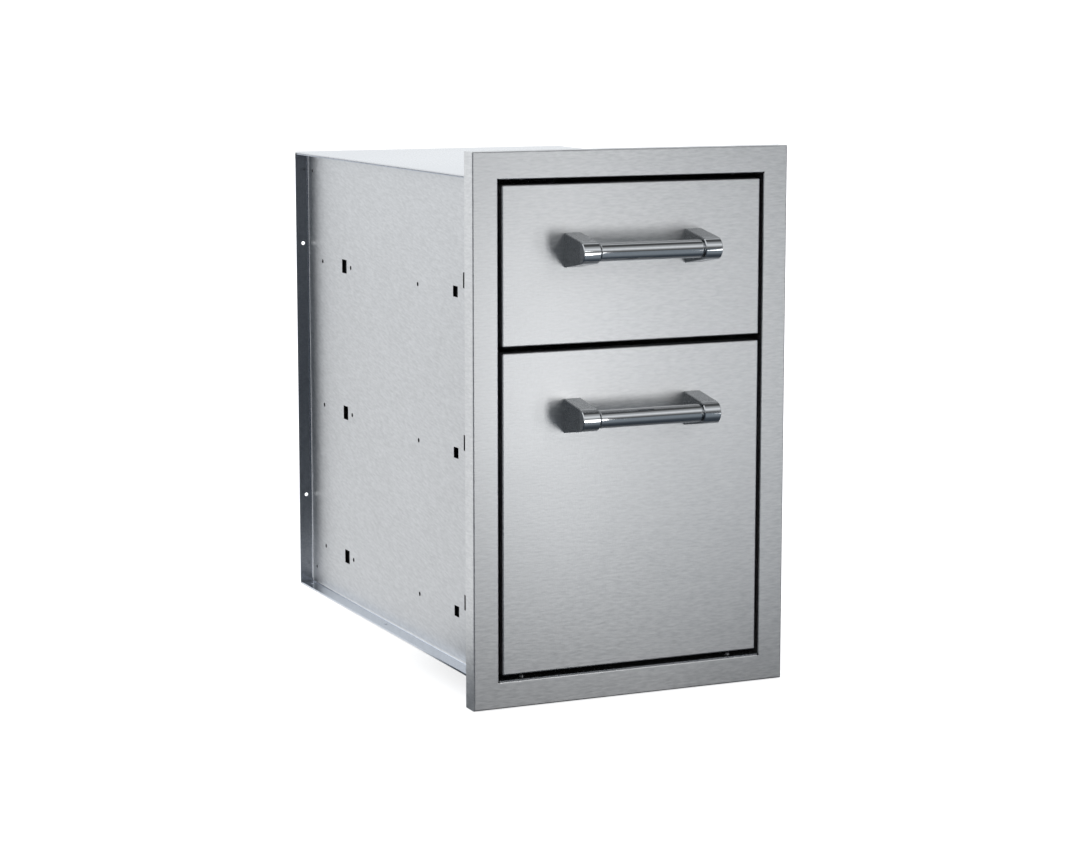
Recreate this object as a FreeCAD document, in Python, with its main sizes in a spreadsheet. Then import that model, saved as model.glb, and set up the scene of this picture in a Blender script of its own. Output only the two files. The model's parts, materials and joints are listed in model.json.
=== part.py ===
import FreeCAD, Part
import math
import os
import re

import Sketcher

# Built-in two-drawer unit for an outdoor kitchen, in folded stainless sheet.
# X runs to the right, Y runs into the cabinet, Z runs up, all in millimetres.
# Pieces are drawn from the front face of the trim frame (Y = 0 there) and from the
# underside of that frame, and each is then placed in the unit's own frame.

SIZES = {
    # Trim frame
    "frame_width": 406.4,
    "frame_height": 647.7,
    "frame_border": 31.75,
    "frame_return": 23.6,
    "inner_return": 22.0,
    "frame_bend": 1.6,
    "corner_relief": 1.2,
    # Cabinet shell
    "panel_sheet": 1.2,
    "panel_bend": 3.0,
    "panel_flange": 18.0,
    "side_setback": 3.35,
    "cabinet_depth": 628.65,
    "hem_width": 16.0,
    "front_hem": 24.0,
    "back_flange": 30.0,
    "tongue_play": 0.3,
    # Fixing holes of the shell
    "flange_hole_line": 8.5,
    "fixing_hole": 5.0,
    "rear_hole_pitch": 342.5,
    "floor_hole_front": 58.2,
    "floor_hole_inset": 21.85,
    "back_hole": 4.0,
    "back_hole_inset": 17.0,
    "back_hole_end": 25.0,
    "cover_play": 0.2,
    # Screws that hold the frame to the shell
    "frame_screw_half": 136.7,
    "frame_screw_y": 15.6,
    "frame_screw_dia": 4.0,
    "frame_screw_length": 8.0,
    "screw_play": 0.05,
    # Drawer fronts
    "gap_side": 4.95,
    "gap_top": 6.8,
    "gap_between": 7.5,
    "gap_bottom": 7.8,
    "front_depth": 19.0,
    "front_sheet": 1.2,
    "front_bend": 1.5,
    "liner_flange": 12.0,
    "liner_play": 0.2,
    "access_hole": 12.0,
    # Drawer boxes
    "tray_sheet": 1.0,
    "tray_bend": 2.0,
    "tray_rise": 14.0,
    "tray_drop": 42.0,
    "tray_short": 5.0,
    "tray_hem": 10.0,
    "tray_flange": 12.0,
    "tray_lip": 6.0,
    # Handles
    "handle_length": 177.6,
    "handle_drop": 76.15,
    "post_width": 21.6,
    "post_base": 40.2,
    "post_edge": 0.8,
    "nose_dia": 26.2,
    "handle_reach": 55.0,
    "bar_dia": 21.2,
    "bar_edge": 1.0,
    "bar_groove": 2.0,
    "neck_dia": 15.0,
    "neck_seat": 8.0,
    "neck_play": 0.05,
    "handle_screw_dia": 5.0,
    "handle_screw_grip": 12.0,
    "screw_end_gap": 1.0,
    # Telescopic slides
    "slide_row": 52.2,
    "travel_loss": 10.0,
    "rail_front": 24.0,
    "rail_rear_gap": 54.65,
    "rail_height": 45.5,
    "rail_depth": 12.7,
    "rail_sheet": 1.2,
    "rail_bend": 1.6,
    "rail_lip": 3.15,
    "rail_mouth": 1.3,
    "ball_dia": 4.5,
    "ball_play": 0.03,
    "cage_sheet": 0.8,
    "cage_play": 0.3,
    "cage_length": 250.0,
    "cage_margin": 5.0,
    "drawer_rail_width": 7.5,
    "middle_rail_width": 7.0,
    "bumper_length": 6.0,
    "bumper_width": 7.0,
    "bumper_height": 14.0,
    "bumper_edge": 1.0,
    "bumper_gap": 0.3,
    # Slide brackets and their holes in the side panels
    "bracket_depth": 4.0,
    "bracket_sheet": 1.2,
    "bracket_low": 15.0,
    "bracket_high": 28.0,
    "slot_y": 90.2,
    "slot_rise": 17.4,
    "slot_width": 5.0,
    "slot_height": 18.6,
    "hook_play": 0.5,
    "hook_short": 0.7,
    "front_foot_edge": 80.0,
    "front_foot_end": 102.0,
    "front_window_y": 116.2,
    "front_window_rise": 2.0,
    "front_window_width": 14.6,
    "front_window_height": 13.1,
    "front_screw_y": 235.6,
    "rear_window_inset": 136.45,
    "rear_window_width": 16.8,
    "rear_window_height": 17.7,
    "middle_screw_inset": 160.05,
    "rear_screw_inset": 54.15,
    "foot_half": 9.5,
    "bracket_hole": 5.5,
    "bracket_screw_dia": 5.0,
    "bracket_head_dia": 9.0,
    "bracket_head": 2.2,
    "screw_recess": 0.8,
    # Rivets and screw heads
    "rivet_dia": 4.0,
    "rivet_head_dia": 7.0,
    "rivet_head": 1.0,
    "rivet_inset": 60.0,
    "head_dia": 8.0,
    "head_height": 2.5,
}

LAYOUT = {
    # The front face lies so that the whole unit is centred on Y = 0
    "front_y": "(handle_reach - cabinet_depth) / 2",
    "half_width": "frame_width / 2",
    "opening_half": "frame_width / 2 - frame_border",
    "opening_top": "frame_height - frame_border",
    # Side panels, floor and top cover
    "wall_inner": "opening_half + side_setback",
    "wall_outer": "wall_inner + panel_sheet",
    "flange_edge": "wall_outer + panel_flange",
    "floor_top": "frame_border + panel_sheet",
    "wall_top": "opening_top + panel_sheet",
    "wall_middle": "(frame_border + opening_top + 3 * panel_sheet) / 2",
    "flange_hole_x": "wall_outer + flange_hole_line",
    "floor_hole_pitch": "(cabinet_depth - floor_hole_inset - floor_hole_front) / 2",
    "low_back_hole": "frame_border + back_hole_end",
    "high_back_hole": "wall_top + 2 * panel_sheet - back_hole_end",
    # Drawer fronts stand on a pitch of three equal modules, and the lower one fills two
    "front_room": "opening_top - frame_border - gap_top - gap_bottom",
    "module_height": "(front_room - 2 * gap_between) / 3",
    "module_pitch": "module_height + gap_between",
    "front_width": "2 * (opening_half - gap_side)",
    "lower_bottom": "frame_border + gap_bottom",
    "lower_height": "2 * module_height + gap_between",
    "upper_bottom": "lower_bottom + lower_height + gap_between",
    "upper_height": "module_height",
    "lower_row": "lower_bottom + slide_row",
    "middle_row": "lower_row + module_pitch",
    "upper_row": "lower_row + 2 * module_pitch",
    # Slides and drawer boxes are as long as the cabinet's depth allows
    "rail_end": "cabinet_depth - rail_rear_gap",
    "rail_length": "rail_end - rail_front",
    "slide_travel": "rail_length - travel_loss",
    "moving_end": "rail_end - rail_sheet - bumper_length - bumper_gap",
    "cage_start": "rail_front + slide_travel / 4 + cage_margin",
    "tray_length": "rail_end - tray_short - front_depth",
    "rear_window_y": "cabinet_depth - rear_window_inset",
    "middle_screw_y": "cabinet_depth - middle_screw_inset",
    "rear_screw_y": "cabinet_depth - rear_screw_inset",
    # Slide sections, measured from the back of the cabinet rail towards the drawer
    "rail_back": "wall_inner - bracket_depth",
    "tray_half": "rail_back - rail_depth",
    "race_gap": "ball_dia + 2 * ball_play",
    "cabinet_race": "rail_height / 2 - rail_sheet",
    "middle_race": "cabinet_race - race_gap",
    "middle_inside": "middle_race - rail_sheet",
    "drawer_race": "middle_inside - race_gap",
    "outer_ball_z": "(cabinet_race + middle_race) / 2",
    "inner_ball_z": "(middle_inside + drawer_race) / 2",
    "cabinet_mouth": "rail_depth - rail_mouth",
    "outer_cage_web": "rail_sheet + cage_play",
    "middle_web": "outer_cage_web + cage_sheet + cage_play",
    "middle_edge": "middle_web + middle_rail_width",
    "inner_cage_web": "middle_web + rail_sheet + cage_play",
    "drawer_rail_edge": "rail_depth - drawer_rail_width",
    "outer_ball_u": "middle_web + middle_rail_width / 2",
    "inner_ball_u": "(inner_cage_web + cage_sheet + middle_edge) / 2",
    # Handle posts taper straight from the base to the tangent of the round nose
    "post_centre": "(handle_length - post_width) / 2",
    "post_inner": "handle_length / 2 - post_width",
    "nose_y": "handle_reach - nose_dia / 2",
    "post_span": "sqrt(nose_y * nose_y + post_base * post_base / 4)",
    "post_slope": "atan(post_base / 2 / nose_y) - asin(nose_dia / 2 / post_span)",
    "tangent_y": "nose_y + nose_dia / 2 * sin(post_slope)",
    "tangent_z": "nose_dia / 2 * cos(post_slope)",
}

SIDES = {"left": -1, "right": 1}
DRAWERS = ("upper", "lower")
BALLS_PER_ROW = 3
ALONG_Y = FreeCAD.Rotation(FreeCAD.Vector(1, 0, 0), -90)
UPRIGHT = FreeCAD.Rotation()
UPSIDE_DOWN = FreeCAD.Rotation(FreeCAD.Vector(1, 0, 0), 180)

doc = FreeCAD.newDocument("DrawerUnit")
sub_parts = []


def formula(text):
    """Turn plain size names into references to the cells of the two sheets."""
    def cell(match):
        name = match.group(0)
        if name in SIZES:
            return "Sizes." + name
        if name in LAYOUT:
            return "Layout." + name
        return name
    return re.sub(r"[a-z][a-z_]+", cell, text)


def write_sheets():
    sizes = doc.addObject("Spreadsheet::Sheet", "Sizes")
    for row, (name, value) in enumerate(SIZES.items(), start=1):
        sizes.set("A%d" % row, name)
        sizes.set("B%d" % row, "%g" % value)
        sizes.setAlias("B%d" % row, name)
    layout = doc.addObject("Spreadsheet::Sheet", "Layout")
    for row, name in enumerate(LAYOUT, start=1):
        layout.set("A%d" % row, name)
        layout.setAlias("B%d" % row, name)
    for row, text in enumerate(LAYOUT.values(), start=1):
        own_names = re.sub(r"Layout\.", "", formula(text))
        layout.set("B%d" % row, "=" + own_names)
    doc.recompute()


# Sketches, and the features made from them

def new_body(label):
    body = doc.addObject("PartDesign::Body", label)
    body.Label = label
    return body


def place(piece, x="0", y="front_y", z="0"):
    """Put a piece in the unit's frame and list it as a finished sub-part."""
    piece.setExpression("Placement.Base.x", formula(x))
    piece.setExpression("Placement.Base.y", formula(y))
    piece.setExpression("Placement.Base.z", formula(z))
    sub_parts.append(piece)


def new_sketch(body, plane, at):
    """A sketch on one of the body's origin planes, moved along its axis to at."""
    sketch = body.newObject("Sketcher::SketchObject", "Sketch")
    role = plane + "_Plane"
    support = [item for item in body.Origin.OriginFeatures if item.Role == role]
    sketch.AttachmentSupport = [(support[0], "")]
    sketch.MapMode = "FlatFace"
    sign = "-" if plane == "XZ" else ""
    sketch.setExpression("AttachmentOffset.Base.z", "%s(%s)" % (sign, formula(at)))
    return sketch


def fix_point(sketch, shape, point, x, y):
    """Hold one point of a sketch at formulas for its two coordinates."""
    position = sketch.getPoint(shape, point)
    across = sketch.addConstraint(Sketcher.Constraint("DistanceX", -1, 1, shape, point, position.x))
    upward = sketch.addConstraint(Sketcher.Constraint("DistanceY", -1, 1, shape, point, position.y))
    sketch.setExpression("Constraints[%d]" % across, formula(x))
    sketch.setExpression("Constraints[%d]" % upward, formula(y))


def polygon(*points):
    """A closed outline through points, each a pair of formulas."""
    def draw(sketch):
        count = len(points)
        turn = 2 * math.pi / count
        start = [FreeCAD.Vector(10 * math.cos(k * turn), 10 * math.sin(k * turn), 0)
                 for k in range(count)]
        lines = [sketch.addGeometry(Part.LineSegment(start[k], start[(k + 1) % count]), False)
                 for k in range(count)]
        for k in range(count):
            joined = Sketcher.Constraint("Coincident", lines[k], 2, lines[(k + 1) % count], 1)
            sketch.addConstraint(joined)
        for line, (x, y) in zip(lines, points):
            fix_point(sketch, line, 1, x, y)
    return draw


def rectangle(x_low, x_high, y_low, y_high):
    return polygon((x_low, y_low), (x_high, y_low), (x_high, y_high), (x_low, y_high))


def circle(x, y, diameter):
    def draw(sketch):
        start = Part.Circle(FreeCAD.Vector(1, 1, 0), FreeCAD.Vector(0, 0, 1), 1)
        ring = sketch.addGeometry(start, False)
        fix_point(sketch, ring, 3, x, y)
        radius = sketch.addConstraint(Sketcher.Constraint("Radius", ring, 1))
        sketch.setExpression("Constraints[%d]" % radius, "(%s) / 2" % formula(diameter))
    return draw


def add(body, plane, start, end, *outlines):
    """Pad outlines from start to end along the axis square to their plane."""
    sketch = new_sketch(body, plane, start)
    for outline in outlines:
        outline(sketch)
    pad = body.newObject("PartDesign::Pad", "Pad")
    pad.Profile = sketch
    pad.Reversed = plane == "XZ"
    pad.setExpression("Length", "(%s) - (%s)" % (formula(end), formula(start)))
    sketch.Visibility = False
    return pad


def cut(body, plane, start, end, *outlines):
    """Pocket outlines from start to end along the axis square to their plane."""
    sketch = new_sketch(body, plane, start)
    for outline in outlines:
        outline(sketch)
    pocket = body.newObject("PartDesign::Pocket", "Pocket")
    pocket.Profile = sketch
    pocket.Reversed = plane != "XZ"
    pocket.setExpression("Length", "(%s) - (%s)" % (formula(end), formula(start)))
    sketch.Visibility = False
    return pocket


def dress(body, kind, amount, wanted):
    """Fillet or chamfer the edges of the body's tip that wanted picks."""
    doc.recompute()
    tip = body.Tip
    shape = tip.Shape
    names = ["Edge%d" % number for number, edge in enumerate(shape.Edges, start=1) if wanted(edge)]
    feature = body.newObject("PartDesign::" + kind, kind)
    feature.Base = (tip, names)
    prop = "Radius" if kind == "Fillet" else "Size"
    feature.setExpression(prop, formula(amount))
    return feature


def value_of(name):
    """The present value of a cell, for picking edges by where they lie."""
    sheet = doc.Sizes if name in SIZES else doc.Layout
    return float(getattr(sheet, name))


def near(a, b):
    return abs(a - b) < 0.01


def edge_box(edge):
    box = edge.BoundBox
    return (box.XMin, box.XMax), (box.YMin, box.YMax), (box.ZMin, box.ZMax)


def lies_at(edge, axis, position):
    """True when the whole edge lies at one coordinate of an axis (0, 1 or 2)."""
    low, high = edge_box(edge)[axis]
    return near(low, position) and near(high, position)


def runs_along(edge, axis):
    spans = [high - low for low, high in edge_box(edge)]
    return spans[axis] > 0.5 and all(near(span, 0) for k, span in enumerate(spans) if k != axis)


def folded_pan(body, plane, web_low, web_high, rim, rim_above, outline, inside):
    """A sheet web between two levels, with a wall round it that reaches to rim."""
    if rim_above:
        add(body, plane, web_low, rim, outline)
        cut(body, plane, web_high, rim, inside)
    else:
        add(body, plane, rim, web_high, outline)
        cut(body, plane, rim, web_low, inside)


def span(side, close, far):
    """The low and the high X of a stretch that runs outwards on one side."""
    if side > 0:
        return close, far
    return "-(%s)" % far, "-(%s)" % close


# Fasteners: one master of each, and copies of it gathered in one sub-part

def turned(label, *points):
    """A piece turned about Z from an outline of (radius, height) formulas."""
    body = new_body(label)
    sketch = new_sketch(body, "XZ", "0")
    polygon(*points)(sketch)
    revolution = body.newObject("PartDesign::Revolution", "Revolution")
    revolution.Profile = sketch
    revolution.ReferenceAxis = (sketch, ["V_Axis"])
    revolution.Angle = 360
    sketch.Visibility = False
    return body


def screw(label, diameter, grip, head_dia="head_dia", head="head_height"):
    """A screw with its shank below Z = 0 and its flat head above."""
    radius = "%s / 2" % diameter
    rim = "%s / 2" % head_dia
    return turned(label, ("0", "-(%s)" % grip), (radius, "-(%s)" % grip), (radius, "0"),
                  (rim, "0"), (rim, head), ("0", head))


def rivet(label, grip):
    """A rivet with its head above Z = 0 and its set tail below the grip."""
    radius = "rivet_dia / 2"
    rim = "rivet_head_dia / 2"
    return turned(label, ("0", "-(%s) - rivet_head" % grip), (rim, "-(%s) - rivet_head" % grip),
                  (rim, "-(%s)" % grip), (radius, "-(%s)" % grip), (radius, "0"), (rim, "0"),
                  (rim, "rivet_head"), ("0", "rivet_head"))


def flush_rivet(label, grip):
    """A rivet whose upper end is flush, with a set tail below the grip."""
    radius = "rivet_dia / 2"
    rim = "rivet_head_dia / 2"
    return turned(label, ("0", "-(%s) - rivet_head" % grip), (rim, "-(%s) - rivet_head" % grip),
                  (rim, "-(%s)" % grip), (radius, "-(%s)" % grip), (radius, "0"), ("0", "0"))


def gather(label, master, spots, z="0"):
    """Copies of a master, each at (x, y, z, rotation), as one sub-part."""
    links = []
    for x, y, height, rotation in spots:
        link = doc.addObject("App::Link", label + "_copy")
        link.LinkedObject = master
        link.LinkTransform = False
        link.Placement = FreeCAD.Placement(FreeCAD.Vector(), rotation)
        link.setExpression("Placement.Base.x", formula(x))
        link.setExpression("Placement.Base.y", formula(y))
        link.setExpression("Placement.Base.z", formula(height))
        links.append(link)
    group = doc.addObject("Part::Compound", label)
    group.Label = label
    group.Links = links
    place(group, z=z)


def inward(side):
    """The rotation that turns a fastener's head from +Z towards the cabinet's middle."""
    return FreeCAD.Rotation(FreeCAD.Vector(0, 1, 0), -90 * side)


# Trim frame

def frame_screw_holes():
    """The two holes through a return of the frame and the sheet that lies on it."""
    return [circle("%d * frame_screw_half" % side, "frame_screw_y", "frame_screw_dia + 2 * screw_play")
            for side in (-1, 1)]


def face_frame():
    body = new_body("face_frame")
    outside = rectangle("-half_width", "half_width", "0", "frame_height")
    opening = rectangle("-opening_half", "opening_half", "frame_border", "opening_top")
    add(body, "XZ", "0", "frame_return", outside, opening)
    channel_out = rectangle("-half_width + panel_sheet", "half_width - panel_sheet",
                            "panel_sheet", "frame_height - panel_sheet")
    channel_in = rectangle("-opening_half - panel_sheet", "opening_half + panel_sheet",
                           "frame_border - panel_sheet", "opening_top + panel_sheet")
    cut(body, "XZ", "panel_sheet", "frame_return", channel_out, channel_in)
    cut(body, "XZ", "inner_return", "frame_return", rectangle(
        "-opening_half - 2 * panel_sheet", "opening_half + 2 * panel_sheet",
        "frame_border - 2 * panel_sheet", "opening_top + 2 * panel_sheet"))
    cut(body, "XY", "frame_border - 2 * panel_sheet", "opening_top + 2 * panel_sheet",
        *frame_screw_holes())
    dress(body, "Fillet", "frame_bend", lambda edge: lies_at(edge, 1, 0))
    inner_face = value_of("panel_sheet")
    dress(body, "Fillet", "frame_bend - panel_sheet", lambda edge: lies_at(edge, 1, inner_face))
    reliefs = [circle("%d * opening_half" % side, z, "2 * corner_relief")
               for side in (-1, 1) for z in ("frame_border", "opening_top")]
    cut(body, "XZ", "0", "inner_return", *reliefs)
    place(body)


# Cabinet shell

def side_panel(name, side):
    """A side panel: a web with a flange turned outwards along each of its four edges."""
    body = new_body(name + "_side_panel")
    web_low, web_high = span(side, "wall_inner", "wall_outer")
    outline = rectangle("panel_sheet", "cabinet_depth", "floor_top", "wall_top")
    inside = rectangle("2 * panel_sheet", "cabinet_depth - panel_sheet",
                       "floor_top + panel_sheet", "wall_top - panel_sheet")
    folded_pan(body, "YZ", web_low, web_high, "%d * flange_edge" % side, side > 0, outline, inside)
    web_face = side * value_of("wall_outer")
    dress(body, "Fillet", "panel_bend", lambda edge: lies_at(edge, 0, web_face))
    inner_face = side * value_of("wall_inner")
    dress(body, "Fillet", "panel_bend + panel_sheet", lambda edge: lies_at(edge, 0, inner_face))
    web_cuts = []
    for row in ("lower_row", "middle_row", "upper_row"):
        for y in ("front_screw_y", "middle_screw_y", "rear_screw_y"):
            web_cuts.append(circle(y, row, "bracket_hole"))
        web_cuts.append(window("front_window_y", row + " + front_window_rise",
                               "front_window_width", "front_window_height"))
        web_cuts.append(window("rear_window_y", row, "rear_window_width", "rear_window_height"))
        web_cuts.append(window("slot_y", row + " + slot_rise", "slot_width", "slot_height"))
    for end in ("low_back_hole", "high_back_hole"):
        web_cuts.append(circle("cabinet_depth - back_hole_inset", end, "back_hole"))
    cut_low, cut_high = span(side, "wall_inner - panel_sheet", "wall_outer + panel_sheet")
    cut(body, "YZ", cut_low, cut_high, *web_cuts)
    hole_x = "%d * flange_hole_x" % side
    rear_holes = [circle(hole_x, "wall_middle + %d * rear_hole_pitch / 2" % end, "fixing_hole")
                  for end in (-1, 1)]
    cut(body, "XZ", "cabinet_depth - 2 * panel_sheet", "cabinet_depth + panel_sheet", *rear_holes)
    cut(body, "XY", "frame_border", "floor_top + 2 * panel_sheet", *floor_holes(side))
    place(body)


def window(y, z, width, height):
    half_width = "(%s) / 2" % width
    half_height = "(%s) / 2" % height
    return rectangle("%s - %s" % (y, half_width), "%s + %s" % (y, half_width),
                     "%s - %s" % (z, half_height), "%s + %s" % (z, half_height))


def floor_holes(side):
    """Three fixing holes in line along one side of the floor."""
    return [circle("%d * flange_hole_x" % side,
                   "cabinet_depth - floor_hole_inset - %d * floor_hole_pitch" % step,
                   "fixing_hole") for step in range(3)]


def floor_panel():
    """The floor, whose front tongue lies on the frame's lower return."""
    body = new_body("floor_panel")
    tongue = "opening_half - tongue_play"
    step = "inner_return + tongue_play"
    add(body, "XY", "frame_border", "floor_top", polygon(
        ("-(%s)" % tongue, "panel_sheet"), (tongue, "panel_sheet"), (tongue, step), ("flange_edge", step),
        ("flange_edge", "cabinet_depth"), ("-flange_edge", "cabinet_depth"), ("-flange_edge", step),
        ("-(%s)" % tongue, step)))
    holes = floor_holes(-1) + floor_holes(1) + frame_screw_holes()
    cut(body, "XY", "frame_border - panel_sheet", "floor_top + panel_sheet", *holes)
    place(body)


def top_cover():
    """The top, with all four edges folded under as flat hems."""
    body = new_body("top_cover")
    front = "frame_bend + cover_play"
    add(body, "XY", "wall_top", "wall_top + 2 * panel_sheet",
        rectangle("-flange_edge", "flange_edge", front, "cabinet_depth"))
    cut(body, "XY", "wall_top", "wall_top + panel_sheet", rectangle(
        "-flange_edge + hem_width", "flange_edge - hem_width",
        front + " + front_hem", "cabinet_depth - hem_width"))
    cut(body, "XY", "wall_top - panel_sheet", "wall_top + 3 * panel_sheet", *frame_screw_holes())
    edge_x = value_of("flange_edge")
    dress(body, "Fillet", "panel_sheet * 0.9", lambda edge: runs_along(edge, 1)
          and near(abs(edge.BoundBox.XMin), edge_x))
    place(body)


def back_panel():
    """The back, a pan whose flanges run forward inside the side panels."""
    body = new_body("back_panel")
    outline = rectangle("-wall_inner", "wall_inner", "floor_top", "wall_top")
    inside = rectangle("-wall_inner + panel_sheet", "wall_inner - panel_sheet",
                       "floor_top + panel_sheet", "wall_top - panel_sheet")
    folded_pan(body, "XZ", "cabinet_depth - panel_sheet", "cabinet_depth",
               "cabinet_depth - back_flange", False, outline, inside)
    rear = value_of("cabinet_depth")
    dress(body, "Fillet", "frame_bend", lambda edge: lies_at(edge, 1, rear))
    holes = [circle("cabinet_depth - back_hole_inset", end, "back_hole")
             for end in ("low_back_hole", "high_back_hole")]
    cut(body, "YZ", "-wall_inner - panel_sheet", "wall_inner + panel_sheet", *holes)
    place(body)


def frame_screws():
    """Screws through the frame's returns into the floor and the top cover."""
    master = screw("frame_screw", "frame_screw_dia", "frame_screw_length")
    spots = []
    for side in (-1, 1):
        x = "%d * frame_screw_half" % side
        spots.append((x, "frame_screw_y", "floor_top", UPRIGHT))
        spots.append((x, "frame_screw_y", "opening_top", UPSIDE_DOWN))
    gather("frame_screws", master, spots)


# Telescopic slides. Each outline gives (distance from the cabinet rail's back, height).

def rail_outline(side, points):
    """Lay a slide outline out on its side: distances run towards the cabinet's middle."""
    return polygon(*[("%d * (%s)" % (-side, u), z) for u, z in points])


def channel(web, edge, half, sheet):
    """An outline of a channel whose web is at web and whose flanges reach edge."""
    if web[1]:
        inside = "%s + %s" % (web[0], sheet)
    else:
        inside = "%s - %s" % (web[0], sheet)
    return [(web[0], "-(%s)" % half), (edge, "-(%s)" % half), (edge, "-(%s) + %s" % (half, sheet)),
            (inside, "-(%s) + %s" % (half, sheet)), (inside, "%s - %s" % (half, sheet)),
            (edge, "%s - %s" % (half, sheet)), (edge, half), (web[0], half)]


def web_bends(body, side, distance, half):
    """Round the two outer bends of a channel, where its web meets its flanges."""
    x = -side * distance
    dress(body, "Fillet", "rail_bend", lambda edge: runs_along(edge, 1)
          and near(edge.BoundBox.XMin, x) and near(abs(edge.BoundBox.ZMin), half))


def rivet_holes(side, positions):
    """Sketch circles for rivets through a web, at distances along the slide."""
    return [circle(position, "0", "rivet_dia + 2 * screw_play") for position in positions]


def place_rail(body, side, drawer):
    place(body, x="%d * rail_back" % side, z=drawer + "_row")


def cabinet_rail(drawer, name, side):
    """The fixed rail: a channel with lips, and a stop tab at its rear end."""
    body = new_body("%s_%s_cabinet_rail" % (drawer, name))
    half = "rail_height / 2"
    inner = "cabinet_mouth - rail_sheet"
    points = [("0", "-" + half), ("cabinet_mouth", "-" + half), ("cabinet_mouth", "-%s + rail_lip" % half),
              (inner, "-%s + rail_lip" % half), (inner, "-cabinet_race"), ("rail_sheet", "-cabinet_race"),
              ("rail_sheet", "cabinet_race"), (inner, "cabinet_race"), (inner, "%s - rail_lip" % half),
              ("cabinet_mouth", "%s - rail_lip" % half), ("cabinet_mouth", half), ("0", half)]
    add(body, "XZ", "rail_front", "rail_end", rail_outline(side, points))
    add(body, "XZ", "rail_end - rail_sheet", "rail_end", rail_outline(side, [
        ("0", "-bumper_height / 2"), ("rail_sheet + bumper_width", "-bumper_height / 2"),
        ("rail_sheet + bumper_width", "bumper_height / 2"), ("0", "bumper_height / 2")]))
    web_bends(body, side, 0, value_of("rail_height") / 2)
    web_bends(body, side, value_of("cabinet_mouth"), value_of("rail_height") / 2)
    low, high = span(-side, "-rail_sheet", "2 * rail_sheet")
    cut(body, "YZ", low, high, *rivet_holes(side, ("front_window_y", "rear_window_y")))
    place_rail(body, side, drawer)


def middle_rail(drawer, name, side):
    body = new_body("%s_%s_middle_rail" % (drawer, name))
    add(body, "XZ", "rail_front", "moving_end",
        rail_outline(side, channel(("middle_web", True), "middle_edge", "middle_race", "rail_sheet")))
    web_bends(body, side, value_of("middle_web"), value_of("middle_race"))
    place_rail(body, side, drawer)


def drawer_rail(drawer, name, side):
    body = new_body("%s_%s_drawer_rail" % (drawer, name))
    add(body, "XZ", "rail_front", "moving_end",
        rail_outline(side, channel(("rail_depth", False), "drawer_rail_edge", "drawer_race", "rail_sheet")))
    web_bends(body, side, value_of("rail_depth"), value_of("drawer_race"))
    low, high = span(-side, "rail_depth - 2 * rail_sheet", "rail_depth + rail_sheet")
    cut(body, "YZ", low, high, *rivet_holes(side, tray_rivet_places()))
    place_rail(body, side, drawer)


def ball_places():
    """Distances of the balls along a slide, evenly spread over the cage."""
    step = "cage_length / %d" % BALLS_PER_ROW
    return ["cage_start + (%d + 0.5) * %s" % (number, step) for number in range(BALLS_PER_ROW)]


def ball_cage(drawer, name, side, ring):
    """A thin channel between two rails, pierced for the balls of both rows."""
    body = new_body("%s_%s_%s_ball_cage" % (drawer, name, ring))
    web = ring + "_cage_web"
    edge = "%s_ball_u + ball_dia / 2 + cage_sheet" % ring
    half = "%s_ball_z + cage_sheet / 2" % ring
    add(body, "XZ", "cage_start", "cage_start + cage_length",
        rail_outline(side, channel((web, True), edge, half, "cage_sheet")))
    holes = [circle("%d * %s_ball_u" % (-side, ring), place_y, "ball_dia + 2 * ball_play")
             for place_y in ball_places()]
    cut(body, "XY", "-rail_height / 2", "rail_height / 2", *holes)
    place_rail(body, side, drawer)


def balls(drawer, ring, master):
    spots = []
    for side in SIDES.values():
        for row in (-1, 1):
            for place_y in ball_places():
                x = "%d * (rail_back - %s_ball_u)" % (side, ring)
                spots.append((x, place_y, "%d * %s_ball_z" % (row, ring), UPRIGHT))
    gather("%s_%s_balls" % (drawer, ring), master, spots, z=drawer + "_row")


def bracket(drawer, name, side, end):
    """A hat-shaped standoff between a side panel and a cabinet rail."""
    body = new_body("%s_%s_%s_bracket" % (drawer, name, end))
    if end == "front":
        start, rise = "front_foot_edge", "front_foot_end"
        fall, stop = "front_screw_y - foot_half", "front_screw_y + foot_half"
        screws, rivet_y = ["front_screw_y"], "front_window_y"
    else:
        start, rise = "middle_screw_y - foot_half", "middle_screw_y + foot_half"
        fall, stop = "rear_screw_y - foot_half", "rear_screw_y + foot_half"
        screws, rivet_y = ["middle_screw_y", "rear_screw_y"], "rear_window_y"
    deep, thick = "bracket_depth", "bracket_sheet"
    hat = [("0", start), ("0", rise), (deep + " - " + thick, rise), (deep + " - " + thick, fall),
           ("0", fall), ("0", stop), (thick, stop), (thick, fall + " + " + thick),
           (deep, fall + " + " + thick), (deep, rise + " - " + thick), (thick, rise + " - " + thick),
           (thick, start)]
    outline = [("%d * (%s)" % (-side, d), y) for d, y in hat]
    add(body, "XY", "-bracket_low", "bracket_high", polygon(*outline))
    low, high = span(-side, "-" + thick, deep + " + " + thick)
    holes = [circle(y, "0", "bracket_screw_dia + 2 * screw_play") for y in screws]
    holes += rivet_holes(side, [rivet_y])
    cut(body, "YZ", low, high, *holes)
    if end == "front":
        hook_low, hook_high = span(-side, "hook_short - panel_sheet", "bracket_sheet")
        add(body, "YZ", hook_low, hook_high, window(
            "slot_y", "slot_rise", "slot_width - 2 * hook_play", "slot_height - 2 * hook_play"))
    place(body, x="%d * wall_inner" % side, z=drawer + "_row")


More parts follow.
